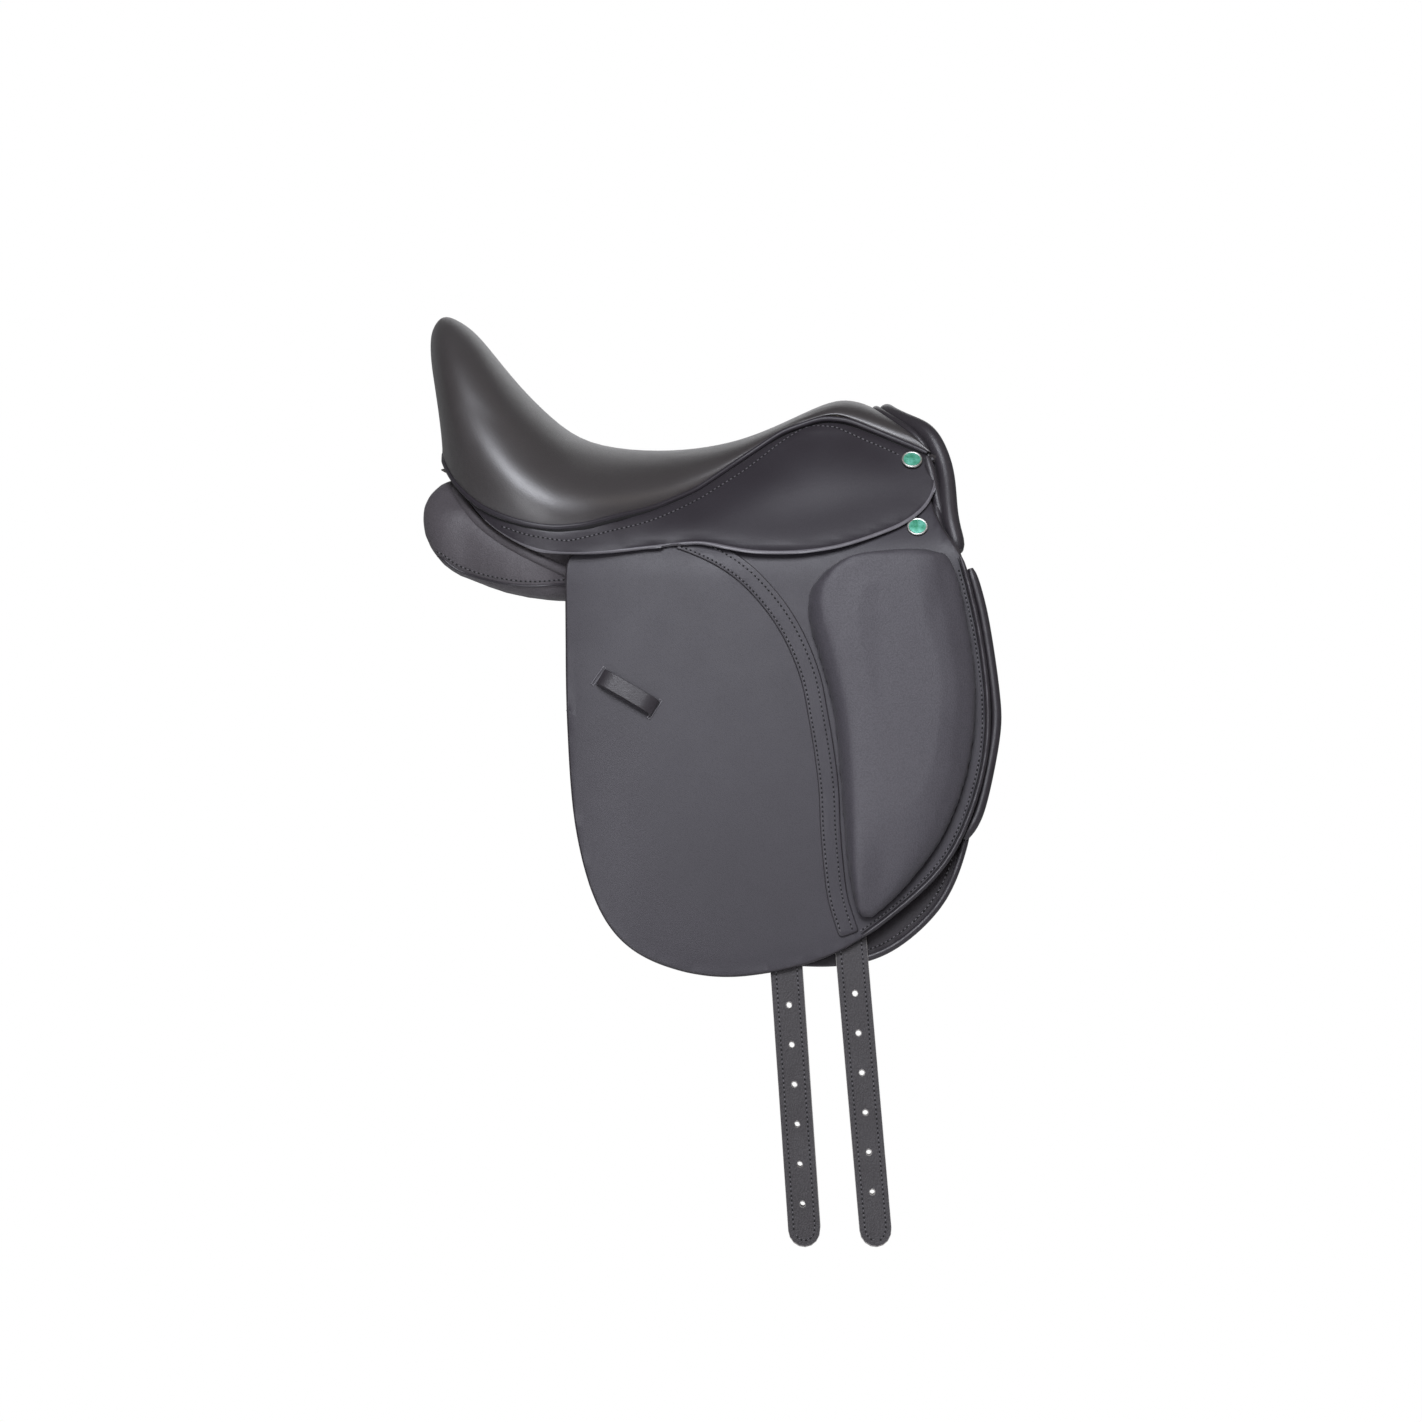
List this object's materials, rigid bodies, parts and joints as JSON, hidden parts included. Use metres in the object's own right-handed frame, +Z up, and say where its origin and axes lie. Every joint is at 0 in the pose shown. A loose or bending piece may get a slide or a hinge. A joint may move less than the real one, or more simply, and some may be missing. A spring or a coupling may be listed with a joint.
{
  "type": "dressage saddle",
  "caption": "English dressage saddle with a deep seat, high cantle, long straight flaps, outside knee blocks, stuffed panels and long girth straps.",
  "frame": {"origin": "on the middle line, level with the lowest line of the rear panels, where the horse's back carries the saddle", "axes": "+X forwards to the pommel, +Y to the horse's left, +Z up"},
  "size_m": [0.5152, 0.4718, 0.8294],
  "materials": {
    "leather": "soft dark brown-black saddle leather with a low sheen",
    "strap_leather": "firm bridle leather with pale cut edges",
    "foam": "seat padding",
    "tree_wood": "laminated beech",
    "webbing": "woven webbing",
    "steel": "forged and brushed",
    "enamel": "silver rim round green pearl enamel, left bare"
  },
  "bodies": {
    "saddle": {"tree": "tree_wood", "seat_foam": "foam", "seat_cover": "leather", "seat_welt": "leather", "rear_facing": "leather", "head_facing": "leather", "pommel_roll": "leather", "pommel_welt": "leather", "gullet_lining": "leather", "skirt_left": "leather", "skirt_button_left": "enamel", "flap_top_left": "leather", "flap_button_left": "enamel", "sweat_flap_left": "leather", "sweat_roll_left": "leather", "panel_left": "leather", "girth_web_front_left": "webbing", "girth_web_rear_left": "webbing", "stirrup_bar_left": "steel", "skirt_right": "leather", "skirt_button_right": "enamel", "flap_top_right": "leather", "flap_button_right": "enamel", "sweat_flap_right": "leather", "sweat_roll_right": "leather", "panel_right": "leather", "girth_web_front_right": "webbing", "girth_web_rear_right": "webbing", "stirrup_bar_right": "steel"},
    "flap_body_left": {"flap_left": "leather", "flap_band_left": "leather", "knee_block_left": "leather", "keeper_left": "strap_leather"},
    "skirt_body_left": {"skirt_lobe_left": "leather"},
    "front_strap_left": {"billet_front_left": "strap_leather"},
    "rear_strap_left": {"billet_rear_left": "strap_leather"},
    "catch_left": {"bar_catch_left": "steel"},
    "flap_body_right": {"flap_right": "leather", "flap_band_right": "leather", "knee_block_right": "leather", "keeper_right": "strap_leather"},
    "skirt_body_right": {"skirt_lobe_right": "leather"},
    "front_strap_right": {"billet_front_right": "strap_leather"},
    "rear_strap_right": {"billet_rear_right": "strap_leather"},
    "catch_right": {"bar_catch_right": "steel"}
  },
  "joints": [
    {"name": "flap_lift_left", "type": "hinge", "parent": "saddle", "child": "flap_body_left", "pos_m": [0, 0.1362, 0.0393], "axis": [0.9986, -0.0369, 0.0369], "range_deg": [0, 60]},
    {"name": "skirt_lift_left", "type": "hinge", "parent": "saddle", "child": "skirt_body_left", "pos_m": [-0.038, 0.139, 0.0512], "axis": [0.9607, -0.1789, 0.2122], "range_deg": [0, 60]},
    {"name": "front_strap_swing_left", "type": "hinge", "parent": "saddle", "child": "front_strap_left", "pos_m": [0.09528, 0.12746, 0.02973], "axis": [0.03, 0.9846, 0.1723], "range_deg": [-8, 1.5], "stiffness_Nm_per_rad": 4},
    {"name": "rear_strap_swing_left", "type": "hinge", "parent": "saddle", "child": "rear_strap_left", "pos_m": [0.04258, 0.12924, 0.02873], "axis": [0.03, 0.9846, 0.1723], "range_deg": [-1.5, 8], "stiffness_Nm_per_rad": 4},
    {"name": "bar_catch_left", "type": "hinge", "parent": "saddle", "child": "catch_left", "pos_m": [0.04927, 0.09432, 0.08958], "axis": [-0.0275, -0.5499, 0.8348], "range_deg": [0, 80]},
    {"name": "flap_lift_right", "type": "hinge", "parent": "saddle", "child": "flap_body_right", "pos_m": [0, -0.1362, 0.0393], "axis": [-0.9986, -0.0369, -0.0369], "range_deg": [0, 60]},
    {"name": "skirt_lift_right", "type": "hinge", "parent": "saddle", "child": "skirt_body_right", "pos_m": [-0.038, -0.139, 0.0512], "axis": [-0.9607, -0.1789, -0.2122], "range_deg": [0, 60]},
    {"name": "front_strap_swing_right", "type": "hinge", "parent": "saddle", "child": "front_strap_right", "pos_m": [0.09528, -0.12746, 0.02973], "axis": [-0.03, 0.9846, -0.1723], "range_deg": [-8, 1.5], "stiffness_Nm_per_rad": 4},
    {"name": "rear_strap_swing_right", "type": "hinge", "parent": "saddle", "child": "rear_strap_right", "pos_m": [0.04258, -0.12924, 0.02873], "axis": [-0.03, 0.9846, -0.1723], "range_deg": [-1.5, 8], "stiffness_Nm_per_rad": 4},
    {"name": "bar_catch_right", "type": "hinge", "parent": "saddle", "child": "catch_right", "pos_m": [0.04927, -0.09432, 0.08958], "axis": [0.0275, -0.5499, -0.8348], "range_deg": [0, 80]}
  ]
}
